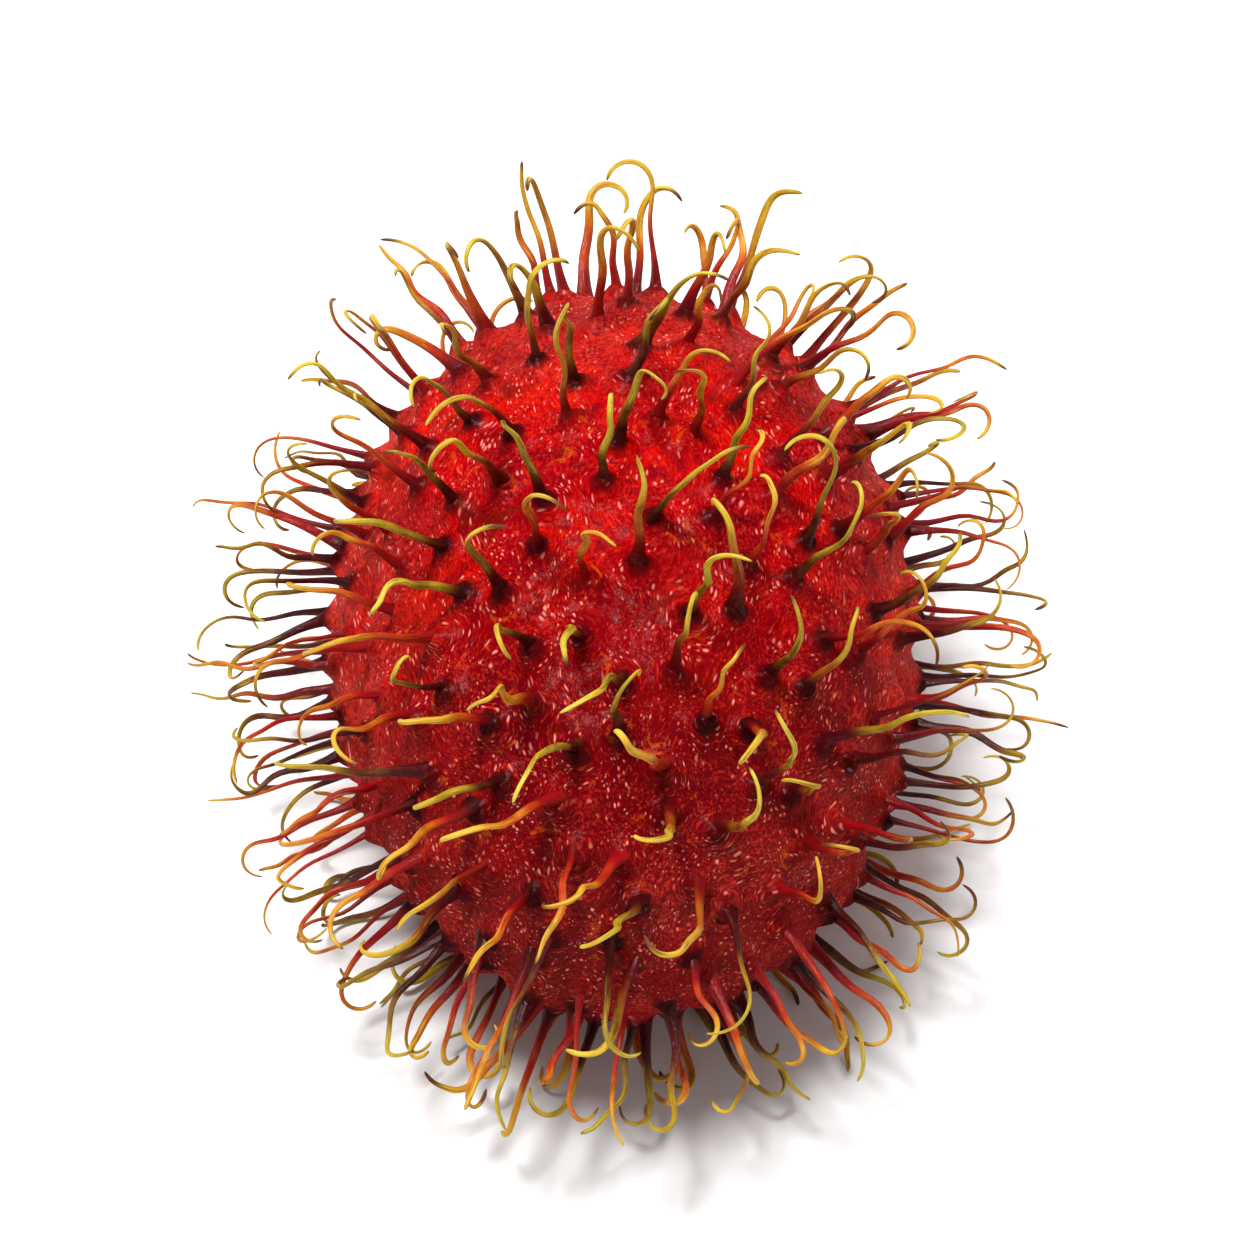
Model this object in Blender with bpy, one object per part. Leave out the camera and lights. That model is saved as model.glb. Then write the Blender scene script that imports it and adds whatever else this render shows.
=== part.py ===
"""A rambutan as picked: one fruit lying on its side, on the small flat spot that its weight presses into the rind.

The rind is egg-shaped, and a soft curved spine, a spintern, grows out of nearly every facet of it. The whole
fruit grew as one piece, so it is one solid. Sizes are in metres and +Z is up. The origin is on the surface that
the fruit lies on, under the middle of its box. The long axis runs along Y, with the stem scar at +Y.
"""

import math

import bmesh
import bpy
import numpy as np
from mathutils import Matrix, Vector

MM = 0.001

# The rind without its spinterns.
RIND_WIDTH = 36.0 * MM
RIND_LENGTH = 49.0 * MM
RIND_HEIGHT = 35.0 * MM
STEM_END_SWELL = 0.045
LUMP_SHARE = 0.012
REST_PRESS = 0.8 * MM

# Where the middle of the rind is. The small shifts put the origin under the middle of the whole fruit's box.
RIND_MIDDLE = Vector((-0.15 * MM, 1.80 * MM, RIND_HEIGHT / 2 - REST_PRESS))

# How the spinterns are spread.
CORNER_COUNT = 172
CORNER_NUDGE = 0.022
BARE_HEIGHT = 1.6 * MM
SCAR_REACH = 3.6 * MM

# The thickness of one spintern, and the rings that make its solid.
ROOT_RADIUS = 0.88 * MM
SHAFT_RADIUS = 0.37 * MM
TIP_RADIUS = 0.19 * MM
TAPER_END = 0.5
TAPER_POWER = 1.8
ROOT_DEPTH = 0.2 * MM
STEPS = 24
RING_STEPS = (0, 7, 14, 19, 24)

# How a spintern leans, bends and hooks. Turns are in radians, over the whole spintern.
LENGTH_RANGE = (8.8 * MM, 12.4 * MM)
LEAN_RANGE = (0.03, 0.38)
LEAN_SCATTER = 0.9
BEND_SCATTER = 0.7
GENTLE_BEND = (0.2, 0.3)
HOOK_TURNS = (0.7, 1.6, 2.5, 3.2)
HOOK_ODDS = (0.12, 0.26, 0.32, 0.30)
HOOK_SCATTER = 0.25
HOOK_START = 0.6
HOOK_RAMP = 0.15
TWIST = 0.8
UNDERSIDE = 0.15
UNDERSIDE_PUSH = 1.6

# How spinterns keep clear of each other and of what the fruit lies on.
SURFACE_GAP = 0.1 * MM
NEIGHBOUR_GAP = 0.25 * MM
RIND_FREE_STEP = 6
NEIGHBOUR_FREE_STEP = 4
TRIES = 14

# The stem scar at +Y.
SCAR_RADIUS = 2.3 * MM
SCAR_RISE = 0.7 * MM

RIND_COLOUR = (0.45, 0.012, 0.022, 1.0)
RIND_ROUGHNESS = 0.42

SEMI_AXES = Vector((RIND_WIDTH / 2, RIND_LENGTH / 2, RIND_HEIGHT / 2))
GOLDEN_ANGLE = math.pi * (3.0 - math.sqrt(5.0))


def clear_scene():
    for item in list(bpy.data.objects):
        bpy.data.objects.remove(item)


def rind_point(direction):
    """The point of the rind in this direction, a unit vector, from its middle."""
    x, y, z = direction
    lumps = math.sin(3.1 * x + 1.7 * y + 0.5) * math.sin(2.6 * z - 1.9 * y + 1.1)
    lumps += 0.7 * math.sin(4.3 * y - 2.2 * x + 2.0) * math.sin(3.7 * z + 1.3 * x)
    size = 1 + LUMP_SHARE * lumps
    girth = size * (1 + STEM_END_SWELL * y)
    return RIND_MIDDLE + Vector((SEMI_AXES.x * girth * x, SEMI_AXES.y * size * y, SEMI_AXES.z * girth * z))


def onto_rind(point):
    """The point of the rind under this one, seen from its middle."""
    offset = point - RIND_MIDDLE
    return rind_point(Vector([offset[k] / SEMI_AXES[k] for k in range(3)]).normalized())


def rind_normal(point):
    """The outward normal of the rind near this point."""
    offset = point - RIND_MIDDLE
    return Vector([offset[k] / SEMI_AXES[k] ** 2 for k in range(3)]).normalized()


def height_over_rind(point):
    """How far outside the rind this point is, nearly."""
    offset = point - RIND_MIDDLE
    share = Vector([offset[k] / SEMI_AXES[k] for k in range(3)]).length
    return offset.length * (1 - 1 / share)


def corner_directions():
    """Unit vectors spread evenly over the rind, on a golden-angle spiral about Y, each nudged a little."""
    rng = np.random.default_rng(7)
    fine = np.linspace(-1, 1, 2001)
    belt = np.sqrt(SEMI_AXES.y**2 - (SEMI_AXES.y**2 - SEMI_AXES.x**2) * fine**2)
    share = np.cumsum(belt) / belt.sum()
    along = np.interp((np.arange(CORNER_COUNT) + 0.5) / CORNER_COUNT, share, fine)
    turn = np.arange(CORNER_COUNT) * GOLDEN_ANGLE
    radius = np.sqrt(1 - along**2)
    spread = np.stack([radius * np.cos(turn), along, radius * np.sin(turn)], axis=1)
    spread += rng.normal(0, CORNER_NUDGE, spread.shape)
    return [Vector(row).normalized() for row in spread]


def faceted_rind():
    """A bmesh of the rind, with a triangular facet for each spintern."""
    rind = bmesh.new()
    rind.faces.layers.int.new("spintern")
    for direction in corner_directions():
        rind.verts.new(direction)
    bmesh.ops.convex_hull(rind, input=rind.verts[:])
    for corner in rind.verts:
        corner.co = rind_point(corner.co.normalized())
    bmesh.ops.recalc_face_normals(rind, faces=rind.faces[:])
    return rind


def carries_spintern(facet):
    """Whether this facet is clear of the flat spot and of the stem scar."""
    scar = rind_point(Vector((0, 1, 0)))
    middle = facet.calc_center_median()
    return middle.z > BARE_HEIGHT and (middle - scar).length > SCAR_REACH


def spintern_radius(along):
    """The radius at this share of a spintern's length."""
    flare = max(0.0, 1 - along / TAPER_END) ** TAPER_POWER
    thin = min(1.0, max(0.0, (along - TAPER_END) / (1 - TAPER_END)))
    return SHAFT_RADIUS + (ROOT_RADIUS - SHAFT_RADIUS) * flare - (SHAFT_RADIUS - TIP_RADIUS) * thin


def sweep(point):
    """The way that the spinterns around this point tend to lean, as a tangent to the rind."""
    x, y, z = (point - RIND_MIDDLE) / SEMI_AXES.x
    flow = Vector((math.sin(2.1 * y + 1.3 * z), -0.55 + math.cos(2.4 * x - 0.8), math.sin(1.9 * x + 1.1 * y + 0.6)))
    normal = rind_normal(point)
    return (flow - normal * flow.dot(normal)).normalized()


def along_surface(point, heading, stride, radius):
    """The heading, turned so that the next point stays its radius above what the fruit lies on."""
    floor = radius + SURFACE_GAP
    if point.z + heading.z * stride >= floor:
        return heading
    fall = max(-1.0, min(0.0, (floor - point.z) / stride))
    level = Vector((heading.x, heading.y, 0)).normalized()
    return (level * math.sqrt(1 - fall * fall) + Vector((0, 0, fall))).normalized()


def spintern_line(root, rng):
    """One possible centreline from this root: it leans, bends gently and ends in a hook."""
    normal = rind_normal(root)
    stride = rng.uniform(*LENGTH_RANGE) / STEPS
    lean = sweep(root)
    lean.rotate(Matrix.Rotation(rng.normal(0, LEAN_SCATTER), 3, normal))
    outward = Vector((normal.x, normal.y, 0)).normalized()
    under = min(1.0, max(0.0, UNDERSIDE - normal.z)) * UNDERSIDE_PUSH
    heading = (normal + lean * rng.uniform(*LEAN_RANGE) + outward * under).normalized()
    bend_way = lean.copy()
    bend_way.rotate(Matrix.Rotation(rng.normal(0, BEND_SCATTER), 3, normal))
    axis = heading.cross(bend_way).normalized()
    gentle = rng.normal(*GENTLE_BEND)
    hook = rng.choice(HOOK_TURNS, p=HOOK_ODDS) + rng.normal(0, HOOK_SCATTER)
    twist = rng.normal(0, TWIST)
    line = [root - normal * ROOT_DEPTH]
    for step in range(STEPS):
        along = (step + 0.5) / STEPS
        hooking = min(1.0, max(0.0, (along - HOOK_START) / HOOK_RAMP)) / (1 - HOOK_START - HOOK_RAMP / 2)
        heading.rotate(Matrix.Rotation((gentle + hook * hooking) / STEPS, 3, axis))
        axis.rotate(Matrix.Rotation(twist / STEPS, 3, heading))
        heading = along_surface(line[-1], heading, stride, spintern_radius((step + 1) / STEPS))
        axis = (axis - heading * axis.dot(heading)).normalized()
        line.append(line[-1] + heading * stride)
    return line


def room_around(line, grown, radii):
    """The smallest gap between this centreline's spintern and the rind and those already grown."""
    free = zip(line[RIND_FREE_STEP:], radii[RIND_FREE_STEP:])
    gap = min(height_over_rind(point) - radius for point, radius in free)
    near = [other for other in grown if (other[0] - line[0]).length < 2 * LENGTH_RANGE[1]]
    if near:
        here = np.array(line[NEIGHBOUR_FREE_STEP:])
        there = np.array([other[NEIGHBOUR_FREE_STEP:] for other in near])
        thick = radii[NEIGHBOUR_FREE_STEP:]
        apart = np.linalg.norm(here[None, :, None] - there[:, None, :], axis=3)
        gap = min(gap, float((apart - thick[:, None] - thick[None, :]).min()))
    return gap


def grow_spinterns(roots):
    """A centreline for each root. Each takes the first of its tries that has room, or else the roomiest."""
    radii = np.array([spintern_radius(step / STEPS) for step in range(STEPS + 1)])
    grown = []
    for number, root in enumerate(roots):
        rng = np.random.default_rng((23, number))
        best, best_gap = None, -1.0
        for _ in range(TRIES):
            line = spintern_line(root, rng)
            gap = room_around(line, grown, radii)
            if gap > best_gap:
                best, best_gap = line, gap
            if gap > NEIGHBOUR_GAP:
                break
        grown.append(best)
    return grown


def ring_frames(line):
    """A pair of vectors across the centreline at each of its points, carried along it without twisting."""
    first = (line[1] - line[0]).normalized()
    across = first.orthogonal().normalized()
    frames = []
    for step in range(len(line)):
        ahead = (line[min(step + 1, STEPS)] - line[max(step - 1, 0)]).normalized()
        across = (across - ahead * across.dot(ahead)).normalized()
        frames.append((across, ahead.cross(across)))
    return frames


def press_flat_spot(fruit):
    """Cuts the rind flat where it rests, and closes the cut with one face."""
    everything = fruit.verts[:] + fruit.edges[:] + fruit.faces[:]
    cut = bmesh.ops.bisect_plane(
        fruit, geom=everything, plane_co=(0, 0, 0), plane_no=(0, 0, -1), clear_outer=True
    )
    rim = [item for item in cut["geom_cut"] if isinstance(item, bmesh.types.BMEdge)]
    bmesh.ops.contextual_create(fruit, geom=rim)


def raise_spinterns(fruit, facets):
    """Extrudes each facet along its own centreline, a ring at a time."""
    number = fruit.faces.layers.int["spintern"]
    for index, facet in enumerate(facets):
        facet[number] = index
    lines = grow_spinterns([onto_rind(facet.calc_center_median()) for facet in facets])
    frames = [ring_frames(line) for line in lines]
    starts = []
    for facet, frame in zip(facets, frames):
        spoke = facet.verts[0].co - facet.calc_center_median()
        starts.append(math.atan2(spoke.dot(frame[0][1]), spoke.dot(frame[0][0])))
    ends = facets
    for step in RING_STEPS:
        ends = bmesh.ops.extrude_discrete_faces(fruit, faces=ends)["faces"]
        radius = spintern_radius(step / STEPS)
        for end in ends:
            index = end[number]
            across, upright = frames[index][step]
            for corner, vertex in enumerate(end.verts):
                angle = starts[index] + corner * math.tau / 3
                spoke = across * math.cos(angle) + upright * math.sin(angle)
                vertex.co = lines[index][step] + spoke * radius


def raise_stem_scar(fruit, facets):
    """Joins the bare facets round the stem end into one, and raises a round corky button from it."""
    scar = bmesh.ops.dissolve_faces(fruit, faces=facets)["region"][0]
    pole = rind_point(Vector((0, 1, 0)))
    for radius, rise in ((SCAR_RADIUS * 1.25, 0.0), (SCAR_RADIUS, SCAR_RISE)):
        scar = bmesh.ops.extrude_discrete_faces(fruit, faces=[scar])["faces"][0]
        for vertex in scar.verts:
            spoke = vertex.co - pole
            spoke.y = 0
            vertex.co = pole + spoke.normalized() * radius + Vector((0, rise, 0))


def fruit_material():
    material = bpy.data.materials.new("rambutan_rind")
    material.use_nodes = True
    shader = material.node_tree.nodes["Principled BSDF"]
    shader.inputs["Base Color"].default_value = RIND_COLOUR
    shader.inputs["Roughness"].default_value = RIND_ROUGHNESS
    shader.inputs["Metallic"].default_value = 0.0
    return material


def make_rambutan():
    fruit = faceted_rind()
    pole = rind_point(Vector((0, 1, 0)))
    carrying = [facet for facet in fruit.faces if carries_spintern(facet)]
    scarred = [f for f in fruit.faces if (f.calc_center_median() - pole).length <= SCAR_REACH]
    raise_stem_scar(fruit, scarred)
    raise_spinterns(fruit, carrying)
    press_flat_spot(fruit)
    mesh = bpy.data.meshes.new("rambutan")
    fruit.to_mesh(mesh)
    fruit.free()
    mesh.materials.append(fruit_material())
    return bpy.data.objects.new("rambutan", mesh)


def main():
    clear_scene()
    collection = bpy.data.collections.new("rambutan")
    bpy.context.scene.collection.children.link(collection)
    collection.objects.link(make_rambutan())


main()
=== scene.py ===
"""A rambutan lying on its side: a pebbled crimson rind with soft hooked spinterns growing out all over.

Sizes are in metres and +Z is up. The fruit's long axis runs along Y, with the stem scar at +Y.
"""
import math

import bmesh
import bpy
import numpy as np
from mathutils import Matrix, Vector
from mathutils.kdtree import KDTree


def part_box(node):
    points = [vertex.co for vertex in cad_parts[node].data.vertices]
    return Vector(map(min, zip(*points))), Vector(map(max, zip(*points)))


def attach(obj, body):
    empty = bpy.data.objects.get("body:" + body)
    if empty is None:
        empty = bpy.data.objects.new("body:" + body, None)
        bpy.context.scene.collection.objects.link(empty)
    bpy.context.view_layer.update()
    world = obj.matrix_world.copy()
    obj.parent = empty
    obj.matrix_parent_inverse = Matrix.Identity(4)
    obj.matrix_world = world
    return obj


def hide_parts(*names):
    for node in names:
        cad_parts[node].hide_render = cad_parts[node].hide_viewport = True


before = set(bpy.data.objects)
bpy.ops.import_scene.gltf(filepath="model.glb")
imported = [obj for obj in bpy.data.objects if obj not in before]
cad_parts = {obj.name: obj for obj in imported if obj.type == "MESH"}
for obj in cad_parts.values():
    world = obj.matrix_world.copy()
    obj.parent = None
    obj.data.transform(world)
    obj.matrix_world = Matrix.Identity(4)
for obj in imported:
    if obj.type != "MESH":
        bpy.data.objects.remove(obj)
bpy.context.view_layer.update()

MM = 0.001

# The rind without its spinterns.
RIND_WIDTH = 36.0 * MM
RIND_LENGTH = 49.0 * MM
RIND_HEIGHT = 35.0 * MM
STEM_END_SWELL = 0.045
LUMP_SHARE = 0.012
REST_PRESS = 0.8 * MM

# Where the middle of the rind is. The small shifts put the origin under the middle of the whole fruit's box.
RIND_MIDDLE = Vector((-0.15 * MM, 1.80 * MM, RIND_HEIGHT / 2 - REST_PRESS))

# How the spinterns are spread.
CORNER_COUNT = 172
CORNER_NUDGE = 0.022
BARE_HEIGHT = 1.6 * MM
SCAR_REACH = 3.6 * MM

# The thickness of one spintern of the solid, which is the room that it needs, and the steps along it.
ROOT_RADIUS = 0.88 * MM
SHAFT_RADIUS = 0.37 * MM
TIP_RADIUS = 0.19 * MM
TAPER_END = 0.5
TAPER_POWER = 1.8
ROOT_DEPTH = 0.2 * MM
STEPS = 24

# How a spintern leans, bends and hooks. Turns are in radians, over the whole spintern.
LENGTH_RANGE = (8.8 * MM, 12.4 * MM)
LEAN_RANGE = (0.03, 0.38)
LEAN_SCATTER = 0.9
BEND_SCATTER = 0.7
GENTLE_BEND = (0.2, 0.3)
HOOK_TURNS = (0.7, 1.6, 2.5, 3.2)
HOOK_ODDS = (0.12, 0.26, 0.32, 0.30)
HOOK_SCATTER = 0.25
HOOK_START = 0.6
HOOK_RAMP = 0.15
TWIST = 0.8
UNDERSIDE = 0.15
UNDERSIDE_PUSH = 1.6

# How spinterns keep clear of each other and of what the fruit lies on.
SURFACE_GAP = 0.1 * MM
NEIGHBOUR_GAP = 0.25 * MM
RIND_FREE_STEP = 6
NEIGHBOUR_FREE_STEP = 4
TRIES = 14

SEMI_AXES = Vector((RIND_WIDTH / 2, RIND_LENGTH / 2, RIND_HEIGHT / 2))
GOLDEN_ANGLE = math.pi * (3.0 - math.sqrt(5.0))

# The fine rind, and the mound round each root.
RIND_CUTS = 118
MOUND_HEIGHT = 2.0 * MM
MOUND_REACH = 2.5 * MM
MOUND_POWER = 3.0
MOUND_CAP = 1.3 * MM
MOUND_LEAN_START = 0.4 * MOUND_CAP
MOST_TILT = 0.7
# How far from each root the dark ring reaches: partly the root's own dark colour, partly painted shade where
# the spintern meets the rind.
ROOT_DARK_AND_SHADE_REACH = 0.8 * MOUND_REACH
GRAIN_REACH = 1.6 * MM
GRAIN_STRETCH = 0.5
PEBBLE_SIZE = 0.8 * MM
PEBBLE_RISE = 0.045 * MM
KNOLL_SIZE = 1.7 * MM
KNOLL_RISE = 0.12 * MM
CELL_SPARE = 1.15
CELL_RIM = 0.6

# Where the skin changes, smoothly from each pair's first value to its second. The first three go by how far
# along the fruit it is, from -1 at the blossom end to 1 at the stem end. The sides go by how steeply the skin
# faces up, and the dried skin by its distance from the middle of the scar.
DEEP_COLOUR = (0.15, -0.65)
STEM_END_DUST = (0.2, 0.9)
LESS_DUST = (0.65, 0.95)
SIDE_FROM_TOP = (0.85, 0.25)
SIDE_FROM_BOTTOM = (-0.95, -0.4)
DRIED_SKIN = (4.4 * MM, 2.5 * MM)

# The grain of the skin, which swirls, and is drawn out into fibres and dashes.
SWIRL_SIZE = 5 * MM
SWIRL_REACH = 4.5 * MM
GRAIN_DRAW = (1.0, 0.36, 1.0)

# One fine spintern: how thick it is at each share of its length, and the rings of its cage.
GIRTH_AT = (0.0, 0.05, 0.12, 0.21, 0.34, 0.5, 0.68, 0.84, 0.93, 0.97, 1.0)
GIRTH = tuple(r * MM for r in (0.88, 0.67, 0.435, 0.32, 0.265, 0.23, 0.195, 0.162, 0.134, 0.138, 0.05))
CAGE_RINGS = (
    0.0, 0.05, 0.12, 0.21, 0.32, 0.43, 0.53, 0.61, 0.67, 0.73, 0.785, 0.84, 0.885, 0.925, 0.965, 1.0,
)
CAGE_SIDES = 5
CAGE_SHRINK = 0.82
WIGGLE = 0.42 * MM
RIPPLE = 0.26 * MM
STOUTNESS = (0.84, 1.18)
FLATNESS = (0.12, 0.30)
LOWEST = 0.05 * MM

# The spinterns of the flanks are slimmer. They, and those low on the fruit, turn yellow further out.
FLANK = (0.5, 0.9)
FLANK_SLIMMING = 0.26
FLANK_DELAY = 0.12
LOW_DELAY = 0.12
DELAY_SCATTER = (-0.06, 0.08)

# The spinterns of the stem end are fresher: warmer in colour, with less dark roots and less painted shade
# round them.
FRESH_END = (0.45, 0.8)
FRESH_WARMTH = 0.75
FRESH_ROOTS = 0.4

# The pieces that the spinterns are kept in, from the blossom end to the stem end.
SPINTERN_GROUPS = (
    "spinterns_blossom_end",
    "spinterns_lower_belt",
    "spinterns_upper_belt",
    "spinterns_stem_end",
)

# The strip that each spintern has in its map: its left edge, its width, its foot and its height, as shares of
# its place. It goes round the spintern a little more than once, so that no face is cut by the seam.
STRIP = (0.06, 0.84, 0.02, 0.96)
STRIP_TURNS = 1.17

# The stem scar at +Y. Its profile is pairs of radius and height in millimetres, from the foot to the middle.
SCAR_RADIUS = 2.2 * MM
SCAR_SIDES = 18
SCAR_PROFILE = (
    (2.50, -0.50), (2.42, 0.20), (2.20, 0.55), (1.90, 0.74), (1.60, 0.62), (1.30, 0.22),
    (1.00, -0.12), (0.62, -0.18), (0.44, 0.20), (0.24, 0.36),
)
COLLAR_REACH = 2.85 * MM
COLLAR_WIDTH = 0.55 * MM
COLLAR_RISE = 0.45 * MM
SCAR_DIP = 0.55 * MM

# The scar's ragged rim: how many waves go round it, and how large each is as a share of the radius.
SCAR_WAVES = ((2, 0.07), (3, 0.05), (7, 0.045), (11, 0.035), (17, 0.02))
SCAR_NOTCHES = 6.5

# The studio. Each light has a name, the angle that it fills in degrees, a strength and the way to it.
FLOOR_REACH = 3.0
LIGHTS = (
    ("key", 16, 4.6, (-0.12, 0.0, 0.62)),
    ("fill", 60, 0.35, (0.7, -0.45, 0.55)),
    ("top", 40, 0.8, (0.1, 0.45, 0.75)),
)
SKY_STRENGTH = 0.23
CAMERA_LENS = 300
CAMERA_DISTANCE = 0.65
CAMERA_LIFT = math.radians(54)
NEAREST_SEEN = 0.01


# ---------------------------------------------------------------- where everything grows

def rind_point(direction):
    """The point of the rind in this direction, a unit vector, from its middle."""
    x, y, z = direction
    lumps = math.sin(3.1 * x + 1.7 * y + 0.5) * math.sin(2.6 * z - 1.9 * y + 1.1)
    lumps += 0.7 * math.sin(4.3 * y - 2.2 * x + 2.0) * math.sin(3.7 * z + 1.3 * x)
    size = 1 + LUMP_SHARE * lumps
    girth = size * (1 + STEM_END_SWELL * y)
    return RIND_MIDDLE + Vector((SEMI_AXES.x * girth * x, SEMI_AXES.y * size * y, SEMI_AXES.z * girth * z))


def onto_rind(point):
    """The point of the rind under this one, seen from its middle."""
    offset = point - RIND_MIDDLE
    return rind_point(Vector([offset[k] / SEMI_AXES[k] for k in range(3)]).normalized())


def rind_normal(point):
    """The outward normal of the rind near this point."""
    offset = point - RIND_MIDDLE
    return Vector([offset[k] / SEMI_AXES[k] ** 2 for k in range(3)]).normalized()


def height_over_rind(point):
    """How far outside the rind this point is, nearly."""
    offset = point - RIND_MIDDLE
    share = Vector([offset[k] / SEMI_AXES[k] for k in range(3)]).length
    return offset.length * (1 - 1 / share)


def corner_directions():
    """Unit vectors spread evenly over the rind, on a golden-angle spiral about Y, each nudged a little."""
    rng = np.random.default_rng(7)
    fine = np.linspace(-1, 1, 2001)
    belt = np.sqrt(SEMI_AXES.y**2 - (SEMI_AXES.y**2 - SEMI_AXES.x**2) * fine**2)
    share = np.cumsum(belt) / belt.sum()
    along = np.interp((np.arange(CORNER_COUNT) + 0.5) / CORNER_COUNT, share, fine)
    turn = np.arange(CORNER_COUNT) * GOLDEN_ANGLE
    radius = np.sqrt(1 - along**2)
    spread = np.stack([radius * np.cos(turn), along, radius * np.sin(turn)], axis=1)
    spread += rng.normal(0, CORNER_NUDGE, spread.shape)
    return [Vector(row).normalized() for row in spread]


def spintern_roots():
    """The middle of each facet between the corners, clear of the flat spot and of the stem scar."""
    facets = bmesh.new()
    for direction in corner_directions():
        facets.verts.new(direction)
    bmesh.ops.convex_hull(facets, input=facets.verts[:])
    for corner in facets.verts:
        corner.co = rind_point(corner.co.normalized())
    bmesh.ops.recalc_face_normals(facets, faces=facets.faces[:])
    scar = rind_point(Vector((0, 1, 0)))
    middles = [facet.calc_center_median() for facet in facets.faces]
    facets.free()
    clear = [m for m in middles if m.z > BARE_HEIGHT and (m - scar).length > SCAR_REACH]
    return [onto_rind(middle) for middle in clear]


def spintern_radius(along):
    """The radius at this share of a spintern's length."""
    flare = max(0.0, 1 - along / TAPER_END) ** TAPER_POWER
    thin = min(1.0, max(0.0, (along - TAPER_END) / (1 - TAPER_END)))
    return SHAFT_RADIUS + (ROOT_RADIUS - SHAFT_RADIUS) * flare - (SHAFT_RADIUS - TIP_RADIUS) * thin


def sweep(point):
    """The way that the spinterns around this point tend to lean, as a tangent to the rind."""
    x, y, z = (point - RIND_MIDDLE) / SEMI_AXES.x
    flow = Vector((
        math.sin(2.1 * y + 1.3 * z),
        -0.55 + math.cos(2.4 * x - 0.8),
        math.sin(1.9 * x + 1.1 * y + 0.6),
    ))
    normal = rind_normal(point)
    return (flow - normal * flow.dot(normal)).normalized()


def along_surface(point, heading, stride, radius):
    """The heading, turned so that the next point stays its radius above what the fruit lies on."""
    floor = radius + SURFACE_GAP
    if point.z + heading.z * stride >= floor:
        return heading
    fall = max(-1.0, min(0.0, (floor - point.z) / stride))
    level = Vector((heading.x, heading.y, 0)).normalized()
    return (level * math.sqrt(1 - fall * fall) + Vector((0, 0, fall))).normalized()


def spintern_line(root, rng):
    """One possible centreline from this root: it leans, bends gently and ends in a hook."""
    normal = rind_normal(root)
    stride = rng.uniform(*LENGTH_RANGE) / STEPS
    lean = sweep(root)
    lean.rotate(Matrix.Rotation(rng.normal(0, LEAN_SCATTER), 3, normal))
    outward = Vector((normal.x, normal.y, 0)).normalized()
    under = min(1.0, max(0.0, UNDERSIDE - normal.z)) * UNDERSIDE_PUSH
    heading = (normal + lean * rng.uniform(*LEAN_RANGE) + outward * under).normalized()
    bend_way = lean.copy()
    bend_way.rotate(Matrix.Rotation(rng.normal(0, BEND_SCATTER), 3, normal))
    axis = heading.cross(bend_way).normalized()
    gentle = rng.normal(*GENTLE_BEND)
    hook = rng.choice(HOOK_TURNS, p=HOOK_ODDS) + rng.normal(0, HOOK_SCATTER)
    twist = rng.normal(0, TWIST)
    line = [root - normal * ROOT_DEPTH]
    for step in range(STEPS):
        along = (step + 0.5) / STEPS
        hooking = min(1.0, max(0.0, (along - HOOK_START) / HOOK_RAMP)) / (1 - HOOK_START - HOOK_RAMP / 2)
        heading.rotate(Matrix.Rotation((gentle + hook * hooking) / STEPS, 3, axis))
        axis.rotate(Matrix.Rotation(twist / STEPS, 3, heading))
        heading = along_surface(line[-1], heading, stride, spintern_radius((step + 1) / STEPS))
        axis = (axis - heading * axis.dot(heading)).normalized()
        line.append(line[-1] + heading * stride)
    return line


def room_around(line, grown, radii):
    """The smallest gap between this centreline's spintern and the rind and those already grown."""
    free = zip(line[RIND_FREE_STEP:], radii[RIND_FREE_STEP:])
    gap = min(height_over_rind(point) - radius for point, radius in free)
    near = [other for other in grown if (other[0] - line[0]).length < 2 * LENGTH_RANGE[1]]
    if near:
        here = np.array(line[NEIGHBOUR_FREE_STEP:])
        there = np.array([other[NEIGHBOUR_FREE_STEP:] for other in near])
        thick = radii[NEIGHBOUR_FREE_STEP:]
        apart = np.linalg.norm(here[None, :, None] - there[:, None, :], axis=3)
        gap = min(gap, float((apart - thick[:, None] - thick[None, :]).min()))
    return gap


def grow_spinterns(roots):
    """A centreline for each root. Each takes the first of its tries that has room, or else the roomiest."""
    radii = np.array([spintern_radius(step / STEPS) for step in range(STEPS + 1)])
    grown = []
    for number, root in enumerate(roots):
        rng = np.random.default_rng((23, number))
        best, best_gap = None, -1.0
        for _ in range(TRIES):
            line = spintern_line(root, rng)
            gap = room_around(line, grown, radii)
            if gap > best_gap:
                best, best_gap = line, gap
            if gap > NEIGHBOUR_GAP:
                break
        grown.append(best)
    return grown


# ---------------------------------------------------------------- helpers for meshes and nodes

def colour(red, green, blue):
    """A linear colour from the way that it looks, in 0 to 255."""
    shown = np.array((red, green, blue)) / 255
    linear = np.where(shown <= 0.04045, shown / 12.92, ((shown + 0.055) / 1.055) ** 2.4)
    return (*linear, 1.0)


def places(mesh):
    """A mesh's vertices as an array."""
    flat = np.empty(len(mesh.vertices) * 3, np.float32)
    mesh.vertices.foreach_get("co", flat)
    return flat.reshape(-1, 3).astype(float)


def place(mesh, points):
    """Moves a mesh's vertices to these points."""
    mesh.vertices.foreach_set("co", points.astype(np.float32).ravel())
    mesh.update()


def write_values(mesh, name, values):
    """Keeps a number, or a point, for each vertex."""
    several = values.ndim == 2
    layer = mesh.attributes.new(name, "FLOAT_VECTOR" if several else "FLOAT", "POINT")
    layer.data.foreach_set("vector" if several else "value", values.astype(np.float32).ravel())


def add_object(name, mesh, material):
    """A piece of the fruit, which rides on its only body and stands for the solid model."""
    mesh.name = name
    mesh.materials.append(material)
    mesh.shade_smooth()
    piece = bpy.data.objects.new(name, mesh)
    bpy.context.scene.collection.objects.link(piece)
    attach(piece, "root")
    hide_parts("rambutan")
    return piece


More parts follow.
